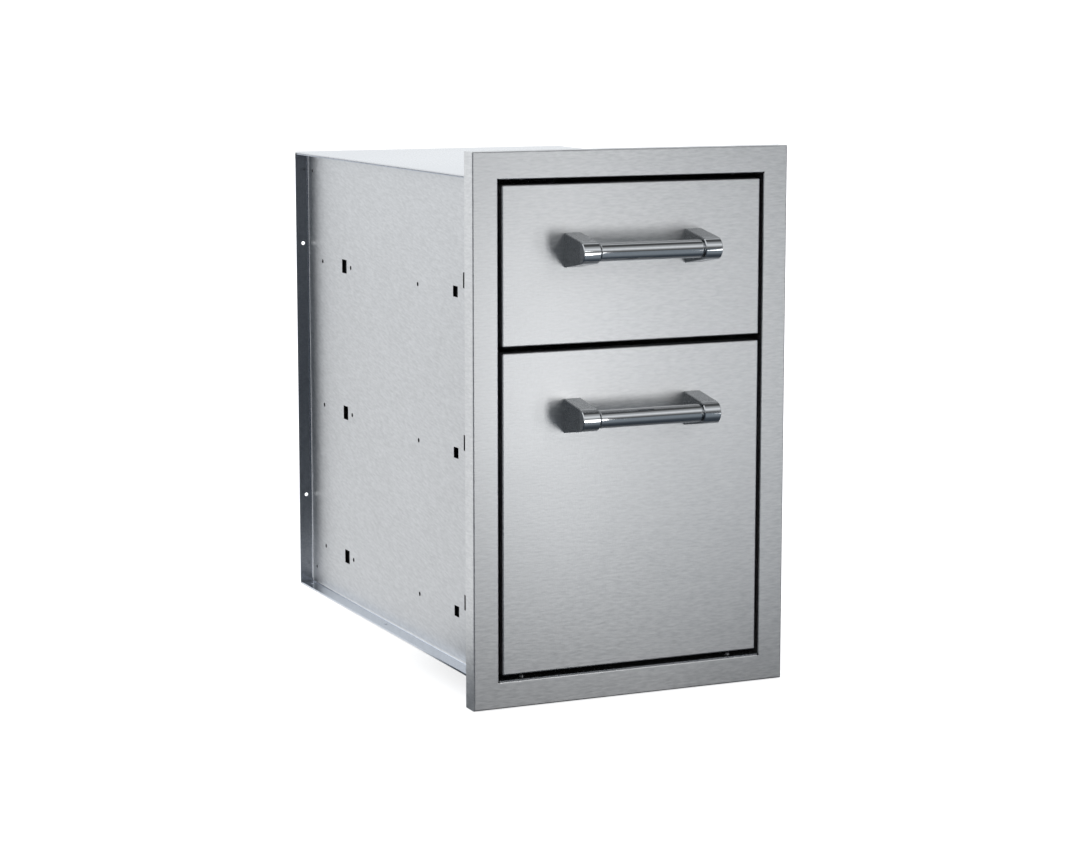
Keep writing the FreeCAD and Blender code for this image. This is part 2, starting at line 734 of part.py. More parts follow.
def slide_fasteners():
    bracket_screw = screw("bracket_screw", "bracket_screw_dia", "bracket_sheet + panel_sheet - screw_recess",
                          "bracket_head_dia", "bracket_head")
    rail_rivet = flush_rivet("rail_rivet", "rail_sheet + bracket_sheet")
    bumper = new_body("bumper")
    add(bumper, "XZ", "-bumper_length", "0", rectangle(
        "-bumper_width / 2", "bumper_width / 2",
        "bumper_edge - bumper_height / 2", "bumper_height / 2 - bumper_edge"))
    screw_spots, rivet_spots, bumper_spots = [], [], []
    for drawer in DRAWERS:
        row = drawer + "_row"
        for side in SIDES.values():
            for y in ("front_screw_y", "middle_screw_y", "rear_screw_y"):
                screw_spots.append(("%d * (wall_inner - bracket_sheet)" % side, y, row, inward(side)))
            for y in ("front_window_y", "rear_window_y"):
                rivet_spots.append(("%d * (rail_back - rail_sheet)" % side, y, row, inward(side)))
            bumper_spots.append(("%d * (rail_back - rail_sheet - bumper_width / 2)" % side,
                                 "rail_end - rail_sheet", row, UPRIGHT))
    gather("bracket_screws", bracket_screw, screw_spots)
    gather("rail_rivets", rail_rivet, rivet_spots)
    gather("rail_bumpers", bumper, bumper_spots)


# Drawers. Heights run from the lower edge of the drawer's own front.

def place_drawer(piece, drawer):
    place(piece, z=drawer + "_bottom")


def handle_height(drawer):
    return drawer + "_height - handle_drop"


def drawer_front(drawer):
    """The outer pan, with its four edges bent back and a small relief at each corner."""
    body = new_body(drawer + "_drawer_front")
    height = drawer + "_height"
    outline = rectangle("-front_width / 2", "front_width / 2", "0", height)
    inside = rectangle("-front_width / 2 + front_sheet", "front_width / 2 - front_sheet",
                       "front_sheet", height + " - front_sheet")
    folded_pan(body, "XZ", "0", "front_sheet", "front_depth", True, outline, inside)
    dress(body, "Fillet", "front_bend", lambda edge: lies_at(edge, 1, 0))
    inner_face = value_of("front_sheet")
    dress(body, "Fillet", "front_bend - front_sheet", lambda edge: lies_at(edge, 1, inner_face))
    reliefs = [circle("%d * front_width / 2" % side, z, "2 * corner_relief")
               for side in (-1, 1) for z in ("0", height)]
    cut(body, "XZ", "0", "front_depth", *reliefs)
    holes = [circle("%d * post_centre" % side, handle_height(drawer),
                    "handle_screw_dia + 2 * screw_play") for side in (-1, 1)]
    cut(body, "XZ", "-front_sheet", "2 * front_sheet", *holes)
    place_drawer(body, drawer)


def drawer_liner(drawer):
    """The inner pan that closes the front and carries the drawer box."""
    body = new_body(drawer + "_drawer_liner")
    inset = "front_sheet + liner_play"
    height = drawer + "_height"
    outline = rectangle("-front_width / 2 + " + inset, "front_width / 2 - (%s)" % inset,
                        inset, "%s - (%s)" % (height, inset))
    deeper = "2 * front_sheet + liner_play"
    inside = rectangle("-front_width / 2 + " + deeper, "front_width / 2 - (%s)" % deeper,
                       deeper, "%s - (%s)" % (height, deeper))
    folded_pan(body, "XZ", "front_depth - front_sheet", "front_depth",
               "front_depth - liner_flange", False, outline, inside)
    rear = value_of("front_depth")
    dress(body, "Fillet", "front_bend", lambda edge: lies_at(edge, 1, rear))
    holes = [circle("%d * post_centre" % side, handle_height(drawer), "access_hole") for side in (-1, 1)]
    cut(body, "XZ", "front_depth - 2 * front_sheet", "front_depth + front_sheet", *holes)
    place_drawer(body, drawer)


def tray_top(drawer):
    return drawer + "_height - tray_drop"


def tray_rivet_places():
    return ("front_depth + rivet_inset", "front_depth + tray_length / 2",
            "front_depth + tray_length - rivet_inset")


def drawer_tray(drawer):
    """Both sides and the bottom in one folded sheet, with hems and front lips turned outwards."""
    body = new_body(drawer + "_drawer_tray")
    top = tray_top(drawer)
    rise, thick = "tray_rise", "tray_sheet"
    under_hem = "%s - tray_hem" % top
    right = [("tray_half", rise), ("tray_half", under_hem), ("tray_half + tray_sheet", under_hem),
             ("tray_half + tray_sheet", top), ("tray_half - tray_sheet", top),
             ("tray_half - tray_sheet", rise + " + " + thick)]
    left = [("-(%s)" % x, z) for x, z in reversed(right)]
    add(body, "XZ", "front_depth", "front_depth + tray_length", polygon(*(right + left)))
    for side in (-1, 1):
        flange_low, flange_high = span(side, "tray_half - tray_sheet / 2", "tray_half + tray_lip")
        add(body, "XZ", "front_depth", "front_depth + tray_sheet",
            rectangle(flange_low, flange_high, "tray_rise + tray_sheet / 2", top))
    low = value_of("tray_rise")
    half = value_of("tray_half")
    dress(body, "Fillet", "tray_bend", lambda edge: runs_along(edge, 1)
          and near(edge.BoundBox.ZMin, low) and near(abs(edge.BoundBox.XMin), half))
    holes = [circle(y, "slide_row", "rivet_dia + 2 * screw_play") for y in tray_rivet_places()]
    cut(body, "YZ", "-tray_half - 2 * tray_sheet", "tray_half + 2 * tray_sheet", *holes)
    place_drawer(body, drawer)


def drawer_back(drawer):
    """The drawer's rear wall, a pan whose flanges run forward inside the tray."""
    body = new_body(drawer + "_drawer_back")
    top = tray_top(drawer)
    wall = "tray_half - tray_sheet"
    inner = "tray_half - 2 * tray_sheet"
    rear_y = "front_depth + tray_length"
    outline = rectangle("-(%s)" % wall, wall, "tray_rise + tray_sheet", top)
    inside = rectangle("-(%s)" % inner, inner, "tray_rise + 2 * tray_sheet", top + " - tray_sheet")
    folded_pan(body, "XZ", rear_y + " - tray_sheet", rear_y, rear_y + " - tray_flange",
               False, outline, inside)
    rear = value_of("front_depth") + value_of("tray_length")
    dress(body, "Fillet", "tray_bend", lambda edge: lies_at(edge, 1, rear))
    place_drawer(body, drawer)


def drawer_rivets(drawer, master):
    """Rivets from inside each drawer rail through the wall of the tray."""
    spots = []
    for side in SIDES.values():
        for y in tray_rivet_places():
            spots.append(("%d * (tray_half + rail_sheet)" % side, y, "slide_row", inward(-side)))
    gather(drawer + "_drawer_rivets", master, spots, z=drawer + "_bottom")


# Handles

def handle_post(drawer, name, side):
    """A post that tapers from its base to a round nose, bored for the bar."""
    body = new_body("%s_handle_%s_post" % (drawer, name))
    low, high = "-post_width / 2", "post_width / 2"
    add(body, "YZ", low, high, polygon(
        ("0", "-post_base / 2"), ("0", "post_base / 2"), ("-tangent_y", "tangent_z"),
        ("-tangent_y", "-tangent_z")))
    add(body, "YZ", low, high, circle("-nose_y", "0", "nose_dia"))
    flank = value_of("post_width") / 2
    dress(body, "Chamfer", "post_edge", lambda edge: near(abs(edge.BoundBox.XMin), flank)
          and near(edge.BoundBox.XMin, edge.BoundBox.XMax) and not lies_at(edge, 1, 0))
    bore_low, bore_high = span(-side, "post_width / 2 - neck_seat", "post_width / 2")
    cut(body, "YZ", bore_low, bore_high, circle("-nose_y", "0", "neck_dia + 2 * neck_play"))
    cut(body, "XZ", "-handle_screw_grip", "0", circle("0", "0", "handle_screw_dia + 2 * screw_play"))
    place(body, x="%d * post_centre" % side, z="%s_bottom + %s" % (drawer, handle_height(drawer)))


def handle_bar(drawer):
    """The round bar, necked down at both ends where it enters the posts."""
    body = new_body(drawer + "_handle_bar")
    body_end = "post_inner - bar_groove"
    neck_end = "post_inner + neck_seat"
    sketch = new_sketch(body, "XY", "0")
    outline = polygon(
        ("-(%s)" % neck_end, "0"), (neck_end, "0"), (neck_end, "neck_dia / 2"),
        (body_end, "neck_dia / 2"), (body_end, "bar_dia / 2"), ("-(%s)" % body_end, "bar_dia / 2"),
        ("-(%s)" % body_end, "neck_dia / 2"), ("-(%s)" % neck_end, "neck_dia / 2"))
    outline(sketch)
    revolution = body.newObject("PartDesign::Revolution", "Revolution")
    revolution.Profile = sketch
    revolution.ReferenceAxis = (sketch, ["H_Axis"])
    revolution.Angle = 360
    end_x = value_of("post_inner") - value_of("bar_groove")
    radius = value_of("bar_dia") / 2
    dress(body, "Fillet", "bar_edge", lambda edge: near(abs(edge.BoundBox.XMin), end_x)
          and near(edge.BoundBox.XMin, edge.BoundBox.XMax) and near(edge.BoundBox.ZMax, radius))
    place(body, y="front_y - nose_y", z="%s_bottom + %s" % (drawer, handle_height(drawer)))


def handle_screws(drawer, master):
    spots = [("%d * post_centre" % side, "front_sheet", handle_height(drawer), ALONG_Y)
             for side in (-1, 1)]
    gather(drawer + "_handle_screws", master, spots, z=drawer + "_bottom")


def check_document():
    """Stop when a feature has failed or a pocket has removed nothing."""
    for item in doc.Objects:
        if "Invalid" in item.State or "Error" in item.State:
            raise RuntimeError("%s (%s) has failed" % (item.Label, item.Name))
        if item.TypeId == "PartDesign::Pocket":
            removed = item.BaseFeature.Shape.Volume - item.Shape.Volume
            if removed < 0.01:
                raise RuntimeError("%s removes nothing" % item.Name)
    for piece in sub_parts:
        if piece.Shape.isNull() or not piece.Shape.isValid():
            raise RuntimeError("%s has no valid shape" % piece.Label)


def export():
    os.makedirs("parts", exist_ok=True)
    for piece in sub_parts:
        piece.Shape.exportStep("parts/%s.step" % piece.Label)


write_sheets()
face_frame()
for side_name, side_sign in SIDES.items():
    side_panel(side_name, side_sign)
floor_panel()
top_cover()
back_panel()
frame_screws()
slide_fasteners()
handle_screw = screw("handle_screw", "handle_screw_dia",
                     "front_sheet + handle_screw_grip - screw_end_gap")
tray_rivet = rivet("tray_rivet", "rail_sheet + tray_sheet")
ball = doc.addObject("Part::Sphere", "ball")
ball.setExpression("Radius", formula("ball_dia / 2"))
for drawer_name in DRAWERS:
    for side_name, side_sign in SIDES.items():
        for bracket_end in ("front", "rear"):
            bracket(drawer_name, side_name, side_sign, bracket_end)
        cabinet_rail(drawer_name, side_name, side_sign)
        middle_rail(drawer_name, side_name, side_sign)
        drawer_rail(drawer_name, side_name, side_sign)
        for cage_ring in ("outer", "inner"):
            ball_cage(drawer_name, side_name, side_sign, cage_ring)
        handle_post(drawer_name, side_name, side_sign)
    drawer_front(drawer_name)
    drawer_liner(drawer_name)
    drawer_tray(drawer_name)
    drawer_back(drawer_name)
    drawer_rivets(drawer_name, tray_rivet)
    handle_bar(drawer_name)
    handle_screws(drawer_name, handle_screw)
    for cage_ring in ("outer", "inner"):
        balls(drawer_name, cage_ring, ball)
doc.recompute()
check_document()
export()
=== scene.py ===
import json
import math

import bmesh
import bpy
from mathutils import Matrix, Vector


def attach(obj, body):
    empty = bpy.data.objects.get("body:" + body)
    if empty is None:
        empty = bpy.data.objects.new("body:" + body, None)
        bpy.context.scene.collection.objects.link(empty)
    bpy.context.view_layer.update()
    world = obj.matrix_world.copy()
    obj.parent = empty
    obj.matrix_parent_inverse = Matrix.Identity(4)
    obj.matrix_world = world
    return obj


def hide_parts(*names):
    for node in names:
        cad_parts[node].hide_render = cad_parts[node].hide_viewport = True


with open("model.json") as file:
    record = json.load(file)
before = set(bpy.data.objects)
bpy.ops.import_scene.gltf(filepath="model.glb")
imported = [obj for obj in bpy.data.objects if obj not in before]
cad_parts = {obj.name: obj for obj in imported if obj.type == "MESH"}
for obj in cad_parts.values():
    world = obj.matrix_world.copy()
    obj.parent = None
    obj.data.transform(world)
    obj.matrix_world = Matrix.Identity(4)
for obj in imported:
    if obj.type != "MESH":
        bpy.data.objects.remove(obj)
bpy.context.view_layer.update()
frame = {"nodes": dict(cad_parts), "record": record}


# Node helpers

def new_material(name):
    """A material with an empty Principled shader; returns it with its tree and shader."""
    material = bpy.data.materials.new(name)
    material.use_nodes = True
    tree = material.node_tree
    return material, tree, tree.nodes["Principled BSDF"]


def node(tree, kind, **values):
    """Add a node; values name its properties, or its input sockets when it has such a socket."""
    made = tree.nodes.new(kind)
    for name, value in values.items():
        if hasattr(made, name):
            setattr(made, name, value)
        else:
            made.inputs[name.replace("_", " ")].default_value = value
    return made


def join(tree, source, out_name, target, in_name):
    """Link a named output of one node to a named input of another."""
    tree.links.new(source.outputs[out_name], target.inputs[in_name])


def feed(tree, value, target, in_name):
    """Link an output socket to a named input of a node."""
    tree.links.new(value, target.inputs[in_name])


def fed(shader, in_name):
    """The output socket that feeds a named input."""
    return shader.inputs[in_name].links[0].from_socket


def maths(tree, operation, *inputs):
    """A maths node; each input is a number or an output socket. Returns its output socket."""
    made = node(tree, "ShaderNodeMath", operation=operation)
    for socket, value in zip(made.inputs, inputs):
        if isinstance(value, (int, float)):
            socket.default_value = value
        else:
            tree.links.new(value, socket)
    return made.outputs[0]


def between(tree, factor, at_zero, at_one):
    """A number that goes from one input to another as the factor goes from 0 to 1."""
    rest = maths(tree, "SUBTRACT", 1.0, factor)
    return maths(tree, "ADD", maths(tree, "MULTIPLY", factor, at_one),
                 maths(tree, "MULTIPLY", rest, at_zero))


def ramp(tree, value, low, high, to_low=0.0, to_high=1.0, smooth=True):
    """Map the range from low to high to another one, clamped; low may be the larger number."""
    made = node(tree, "ShaderNodeMapRange")
    made.interpolation_type = "SMOOTHSTEP" if smooth else "LINEAR"
    ends = (("From Min", low), ("From Max", high), ("To Min", to_low), ("To Max", to_high))
    for name, number in ends:
        made.inputs[name].default_value = number
    feed(tree, value, made, "Value")
    return made.outputs[0]


def window(tree, value, rise, fall):
    """1 between a rise and a fall, and 0 outside; each is where the ramp is at 0 and at 1."""
    return maths(tree, "MULTIPLY", ramp(tree, value, *rise), ramp(tree, value, *fall))


def curve(tree, value, low, high, stops):
    """A smooth curve through (position, level) stops, for positions from low to high."""
    made = node(tree, "ShaderNodeValToRGB")
    made.color_ramp.interpolation = "EASE"
    points = made.color_ramp.elements
    while len(points) < len(stops):
        points.new(1.0)
    for point, (position, level) in zip(points, stops):
        point.position = (position - low) / (high - low)
        point.color = (level, level, level, 1.0)
    feed(tree, ramp(tree, value, low, high, smooth=False), made, "Fac")
    return made.outputs["Color"]


def mix_colours(tree, factor, first, second, blend_type="MIX"):
    """Two colours mixed by a factor; each is an RGB tuple or an output socket."""
    made = node(tree, "ShaderNodeMix", data_type="RGBA", blend_type=blend_type)
    tree.links.new(factor, made.inputs[0])
    for socket, value in ((made.inputs[6], first), (made.inputs[7], second)):
        if isinstance(value, tuple):
            socket.default_value = (*value, 1.0)
        else:
            tree.links.new(value, socket)
    return made.outputs[2]


def coordinates(tree, kind="Object"):
    """The X, Y and Z outputs of one kind of texture coordinates."""
    parts = node(tree, "ShaderNodeSeparateXYZ")
    join(tree, node(tree, "ShaderNodeTexCoord"), kind, parts, "Vector")
    return parts.outputs


def object_place(tree, scale, turn=(0.0, 0.0, 0.0)):
    """Object coordinates, turned about X, Y and Z and scaled, so that grain runs one way."""
    coords = node(tree, "ShaderNodeTexCoord")
    turned = node(tree, "ShaderNodeMapping")
    turned.inputs["Rotation"].default_value = [math.radians(angle) for angle in turn]
    join(tree, coords, "Object", turned, "Vector")
    scaled = node(tree, "ShaderNodeMapping")
    scaled.inputs["Scale"].default_value = scale
    join(tree, turned, "Vector", scaled, "Vector")
    return scaled


def noise(tree, vector, scale, detail=2.0, roughness=0.5, distortion=0.0):
    """Noise values around 0.5. Returns the output socket."""
    texture = node(tree, "ShaderNodeTexNoise", Scale=scale, Detail=detail, Roughness=roughness,
                   Distortion=distortion)
    join(tree, vector, "Vector", texture, "Vector")
    return texture.outputs["Fac"]


def bump(tree, shader, height, strength, distance):
    """Bump on a shader, from a height socket."""
    made = node(tree, "ShaderNodeBump", Strength=strength, Distance=distance)
    feed(tree, height, made, "Height")
    join(tree, made, "Normal", shader, "Normal")


# Materials. Noise hardly leaves these ranges, so each is spread over a whole look.

STROKE_RANGE = (0.25, 0.75)
CLOUD_RANGE = (0.3, 0.7)


def brushed(name, grain, dark, light, rough, strength, anisotropic=0.0, turn=(0.0, 0.0, 0.0)):
    """Sheet steel with strokes that run along one axis: streaks in tone, gloss and height."""
    material, tree, shader = new_material(name)
    shader.inputs["Metallic"].default_value = 1.0
    shader.inputs["Anisotropic"].default_value = anisotropic
    strokes = noise(tree, object_place(tree, grain, turn), 1.0, detail=2.5, roughness=0.55,
                    distortion=0.2)
    cloud = noise(tree, object_place(tree, (3.0, 3.0, 3.0)), 1.0, detail=3.0)
    tone = maths(tree, "ADD", ramp(tree, strokes, *STROKE_RANGE, 0.0, 0.8, smooth=False),
                 ramp(tree, cloud, *CLOUD_RANGE, 0.0, 0.2))
    feed(tree, mix_colours(tree, tone, dark, light), shader, "Base Color")
    gloss = maths(tree, "ADD", ramp(tree, cloud, *CLOUD_RANGE, rough - 0.02, rough + 0.02),
                  ramp(tree, strokes, *STROKE_RANGE, -0.03, 0.03, smooth=False))
    feed(tree, gloss, shader, "Roughness")
    bump(tree, shader, strokes, strength, 0.0004)
    if anisotropic:
        # A quarter turn of the tangent spreads highlights across the strokes
        shader.inputs["Anisotropic Rotation"].default_value = 0.25
        tangent = node(tree, "ShaderNodeTangent", direction_type="RADIAL", axis="Z")
        join(tree, tangent, "Tangent", shader, "Tangent")
    return material


def plain(name, dark, light, metallic, rough, strength=0.05, specular=0.5):
    """A fairly even surface with small mottling in tone, gloss and height."""
    material, tree, shader = new_material(name)
    shader.inputs["Metallic"].default_value = metallic
    shader.inputs["Specular IOR Level"].default_value = specular
    speck = noise(tree, object_place(tree, (1.0, 1.0, 1.0)), 400.0, detail=4.0, roughness=0.6)
    tone = ramp(tree, speck, *CLOUD_RANGE)
    feed(tree, mix_colours(tree, tone, dark, light), shader, "Base Color")
    gloss = ramp(tree, speck, *CLOUD_RANGE, rough * 0.85, rough * 1.15)
    feed(tree, gloss, shader, "Roughness")
    bump(tree, shader, speck, strength, 0.0002)
    return material


# Places on the side panels and the handle posts that a material follows, in metres.
# The side panels' places along X count from the middle of the unit.
PANEL_OUTER_X = 0.176
CUT_EDGE_X = (PANEL_OUTER_X - 0.0011, PANEL_OUTER_X - 0.0001)
FLANGE_X = PANEL_OUTER_X + 0.0008
FLANGE_END_X = PANEL_OUTER_X + 0.0178
TOP_FLANGE_Z = 0.61
REAR_FLANGE_Y = 0.335
POST_NOSE_Y = -0.3303

# Painted shadow: the near-black colour of the side panels' cut edges and top flange end
PAINTED_SHADOW_LINE_COLOUR = (0.012, 0.012, 0.012)
# Painted shade: the rear flange's colour is multiplied darker and bluish
REAR_FLANGE_PAINTED_SHADE = (0.74, 0.77, 0.83)
# Painted light: the other flanges are mixed towards this lighter, bluish colour
FLANGE_PAINTED_LIGHT = (0.72, 0.78, 0.88)
POLISHED_COLOUR = (0.64, 0.65, 0.66)
POLISHED_ROUGH = 0.035


def side_sheet(name):
    """The side panels' sheet: rougher on the panel than on its flanges, with its cut edges painted
    near black as a painted shadow line.
    """
    material = brushed(name, (400.0, 95.0, 430.0), dark=(0.50, 0.505, 0.512),
                       light=(0.69, 0.695, 0.702), rough=0.40, strength=0.15, turn=(-9.0, 0.0, 0.0))
    tree = material.node_tree
    shader = tree.nodes["Principled BSDF"]
    place = coordinates(tree)
    across = maths(tree, "ABSOLUTE", place["X"])
    # Only cut edges lie between the sheet's two faces, and at the end of the top flange; both are
    # painted near black and not metallic, a painted shadow line under the top cover's edge
    painted_shadow_line = maths(tree, "MULTIPLY", maths(tree, "GREATER_THAN", across, CUT_EDGE_X[0]),
                maths(tree, "LESS_THAN", across, CUT_EDGE_X[1]))
    top_end = maths(tree, "MULTIPLY", maths(tree, "GREATER_THAN", across, FLANGE_END_X),
                    maths(tree, "GREATER_THAN", place["Z"], TOP_FLANGE_Z))
    painted_shadow_line = maths(tree, "MAXIMUM", painted_shadow_line, top_end)
    feed(tree, maths(tree, "SUBTRACT", 1.0, painted_shadow_line), shader, "Metallic")
    colour = mix_colours(tree, painted_shadow_line, fed(shader, "Base Color"), PAINTED_SHADOW_LINE_COLOUR)
    # The rear flange is multiplied darker and bluish as painted shade, and the other flanges are
    # mixed lighter and bluish as painted light
    flange = maths(tree, "GREATER_THAN", across, FLANGE_X)
    behind = maths(tree, "GREATER_THAN", place["Y"], REAR_FLANGE_Y)
    rear_flange_shade = maths(tree, "MULTIPLY", flange, behind)
    colour = mix_colours(tree, rear_flange_shade, colour, REAR_FLANGE_PAINTED_SHADE, "MULTIPLY")
    flange_painted_light = maths(tree, "MULTIPLY", maths(tree, "SUBTRACT", flange, rear_flange_shade), 0.7)
    feed(tree, mix_colours(tree, flange_painted_light, colour, FLANGE_PAINTED_LIGHT), shader, "Base Color")
    gloss = maths(tree, "SUBTRACT", fed(shader, "Roughness"), maths(tree, "MULTIPLY", flange, 0.2))
    feed(tree, gloss, shader, "Roughness")
    return material


def post_metal_painted_shade(name):
    """The handle posts: satin flanks and tops with a darker tone than the bars' metal, a painted
    shade, and a polished round nose.
    """
    # Painted shade: the posts' tone is darker than the handle metal that the bars share
    material = plain(name, dark=(0.42, 0.43, 0.44), light=(0.46, 0.47, 0.48), metallic=1.0,
                     rough=0.26, strength=0.03)
    tree = material.node_tree
    shader = tree.nodes["Principled BSDF"]
    polished = ramp(tree, coordinates(tree)["Y"], POST_NOSE_Y + 0.001, POST_NOSE_Y - 0.001)
    gloss = between(tree, polished, fed(shader, "Roughness"), POLISHED_ROUGH)
    feed(tree, gloss, shader, "Roughness")
    colour = mix_colours(tree, polished, fed(shader, "Base Color"), POLISHED_COLOUR)
    feed(tree, colour, shader, "Base Color")
    return material


BRUSHED = {
    "face_sheet": dict(
        grain=(95.0, 95.0, 420.0), dark=(0.53, 0.535, 0.54), light=(0.745, 0.745, 0.745),
        rough=0.42, strength=0.2, anisotropic=0.5),
    "shell_sheet": dict(
        grain=(400.0, 120.0, 400.0), dark=(0.60, 0.605, 0.615), light=(0.67, 0.675, 0.685),
        rough=0.28, strength=0.08, turn=(9.0, 0.0, 0.0)),
    "drawer_box_sheet": dict(
        grain=(330.0, 60.0, 330.0), dark=(0.65, 0.655, 0.66), light=(0.74, 0.745, 0.75),
        rough=0.42, strength=0.03),
}
PLAIN = {
    "handle_metal": dict(
        dark=(0.62, 0.63, 0.64), light=(0.66, 0.665, 0.67), metallic=1.0, rough=POLISHED_ROUGH,
        strength=0.01),
    # A black coat, made nearly black with little specular as painted shade where the slide brackets
    # fill the side panels' holes and slot
    "slide_black": dict(
        dark=(0.010, 0.010, 0.011), light=(0.014, 0.014, 0.015), metallic=0.0, rough=0.5,
        strength=0.2, specular=0.1),
    "cage_steel": dict(
        dark=(0.45, 0.45, 0.46), light=(0.52, 0.52, 0.53), metallic=1.0, rough=0.3),
    "bearing_steel": dict(
        dark=(0.6, 0.6, 0.61), light=(0.64, 0.64, 0.65), metallic=1.0, rough=0.08),
    # Painted shade: screw_steel is darker than bare steel, for the screws in dark gaps and holes
    "screw_steel": dict(
        dark=(0.26, 0.26, 0.265), light=(0.32, 0.32, 0.325), metallic=1.0, rough=0.3),
    "bumper_rubber": dict(
        dark=(0.01, 0.01, 0.01), light=(0.018, 0.018, 0.018), metallic=0.0, rough=0.75,
        strength=0.4),
}
SIDE_PANELS = ("left_side_panel", "right_side_panel")
HANDLE_POSTS = ("upper_handle_left_post", "upper_handle_right_post", "lower_handle_left_post",
                "lower_handle_right_post")

materials = {name: brushed(name, **look) for name, look in BRUSHED.items()}
materials.update({name: plain(name, **look) for name, look in PLAIN.items()})
slots = {entry["node"]: entry["material_slot"] for entry in frame["record"]["subparts"]}
for name, piece in frame["nodes"].items():
    piece.data.materials.clear()
    piece.data.materials.append(materials[slots[name]])
for names, material in ((SIDE_PANELS, side_sheet("side_sheet")),
                        (HANDLE_POSTS, post_metal_painted_shade("post_metal_painted_shade"))):
    for name in names:
        frame["nodes"][name].data.materials[0] = material


# Fasteners with real heads, sockets and threads. Sizes are in millimetres until a piece is made,
# and depths run from the front face of the frame.

RING = 24
FACE_Y = -286.825
SHARP_ANGLE = math.radians(32.0)
FACING = {
    "up": Matrix.Identity(3),
    "down": Matrix.Rotation(math.pi, 3, "X"),
    "left": Matrix.Rotation(-math.pi / 2, 3, "Y"),
    "right": Matrix.Rotation(math.pi / 2, 3, "Y"),
    "back": Matrix.Rotation(-math.pi / 2, 3, "X"),
}


def round_ring(radius):
    """Radii of a circle."""
    return [radius] * RING


def hex_ring(radius):
    """Radii of a hexagon whose corners are at this radius."""
    half_side = math.pi / 6
    return [radius * math.cos(half_side)
            / math.cos((turn * 2 * math.pi / RING) % (math.pi / 3) - half_side)
            for turn in range(RING)]


def screw_rings(diameter, grip, head, height, socket):
    """A threaded shank below 0 and a button head with a hexagonal socket above."""
    radius, rim = diameter / 2, head / 2
    rings = [(round_ring(radius - 0.6), -grip), (round_ring(radius - 0.25), -grip + 0.4)]
    level = -grip + 0.6
    while level < -0.6:
        rings += [(round_ring(radius - 0.03), level), (round_ring(radius - 0.3), level + 0.3)]
        level += 0.6
    rings += [(round_ring(radius), -0.2), (round_ring(radius), 0.0), (round_ring(rim - 0.15), 0.0),
              (round_ring(rim), 0.15), (round_ring(rim), height * 0.35)]
    for step in (0.35, 0.65, 0.9, 1.0):
        rise = math.sin(step * math.pi / 2)
        rings.append((round_ring(rim - step * (rim - socket - 0.7)), height * (0.35 + 0.65 * rise)))
    rings += [(hex_ring(socket + 0.15), height), (hex_ring(socket), height - 0.15),
              (hex_ring(socket), height * 0.4), (round_ring(socket * 0.4), height * 0.3)]
    return rings


def rivet_rings(diameter, grip, head, height):
    """A domed head above 0, and a set tail with a hollow end below the grip."""
    radius, rim = diameter / 2, head / 2
    bottom = -grip - height
    rings = [(round_ring(radius * 0.5), bottom + height * 0.6), (round_ring(radius * 0.9), bottom),
             (round_ring(rim - 0.4), bottom), (round_ring(rim), bottom + 0.35 * height),
             (round_ring(rim), -grip), (round_ring(radius), -grip), (round_ring(radius), 0.0),
             (round_ring(rim - 0.1), 0.0), (round_ring(rim), 0.1)]
    for step in (0.25, 0.5, 0.75, 0.95):
        angle = step * math.pi / 2
        rings.append((round_ring(rim * math.cos(angle)), max(0.1, height * math.sin(angle))))
    return rings


def add_rings(shape, rings, place, facing):
    """Skin one fastener's rings and close both ends."""
    rows = []
    for radii, level in rings:
        row = []
        for turn, radius in enumerate(radii):
            angle = turn * 2 * math.pi / RING
            point = Vector((radius * math.cos(angle), radius * math.sin(angle), level))
            point = FACING[facing] @ point + Vector(place) + Vector((0.0, FACE_Y, 0.0))
            row.append(shape.verts.new(point * 0.001))
        rows.append(row)
    for low, high in zip(rows, rows[1:]):
        for turn in range(RING):
            after = (turn + 1) % RING
            shape.faces.new((low[turn], low[after], high[after], high[turn]))
    shape.faces.new(rows[0][::-1])
    shape.faces.new(rows[-1])


def fasteners(node_name, rings, spots):
    """One piece that stands for a node of screws or rivets, each at a spot with a facing."""
    mesh = bpy.data.meshes.new(node_name + "_detail")
    shape = bmesh.new()
    for place, facing in spots:
        add_rings(shape, rings, place, facing)
    bmesh.ops.recalc_face_normals(shape, faces=shape.faces[:])
    for face in shape.faces:
        face.smooth = True
    for edge in shape.edges:
        if edge.is_manifold and edge.calc_face_angle() > SHARP_ANGLE:
            edge.smooth = False
    shape.to_mesh(mesh)
    shape.free()
    piece = bpy.data.objects.new(node_name + "_detail", mesh)
    bpy.context.collection.objects.link(piece)
    mesh.materials.append(materials[slots[node_name]])
    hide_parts(node_name)
    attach(piece, carriers[node_name])


carriers = {member: body for body, members in frame["record"]["behaviour"]["bodies"].items()
            for member in members}

# Diameter, grip, and the head's diameter and height; screws have their socket's radius too
FRAME_SCREW = (4.0, 8.0, 8.0, 2.5, 1.7)
BRACKET_SCREW = (5.0, 1.6, 9.0, 2.2, 2.0)
HANDLE_SCREW = (5.0, 12.2, 8.0, 2.5, 1.9)
DRAWER_RIVET = (4.0, 2.2, 7.0, 1.0)

# Distances from the middle, depths, and heights above the frame's bottom edge
FRAME_SCREW_X, FRAME_SCREW_DEPTH = 136.7, 15.6
FRAME_SCREW_HEIGHTS = {"up": 32.95, "down": 615.95}
BRACKET_SCREW_X, BRACKET_SCREW_DEPTHS = 173.6, (235.6, 468.6, 574.5)
HANDLE_SCREW_X, HANDLE_SCREW_DEPTH = 78.0, 1.2
RIVET_X, RIVET_DEPTHS = 159.3, (79.0, 294.0, 509.0)
SLIDE_ROWS = {"upper": 476.483, "lower": 91.75}
HANDLE_ROWS = {"upper": 533.0, "lower": 340.633}
SIDES = (-1, 1)

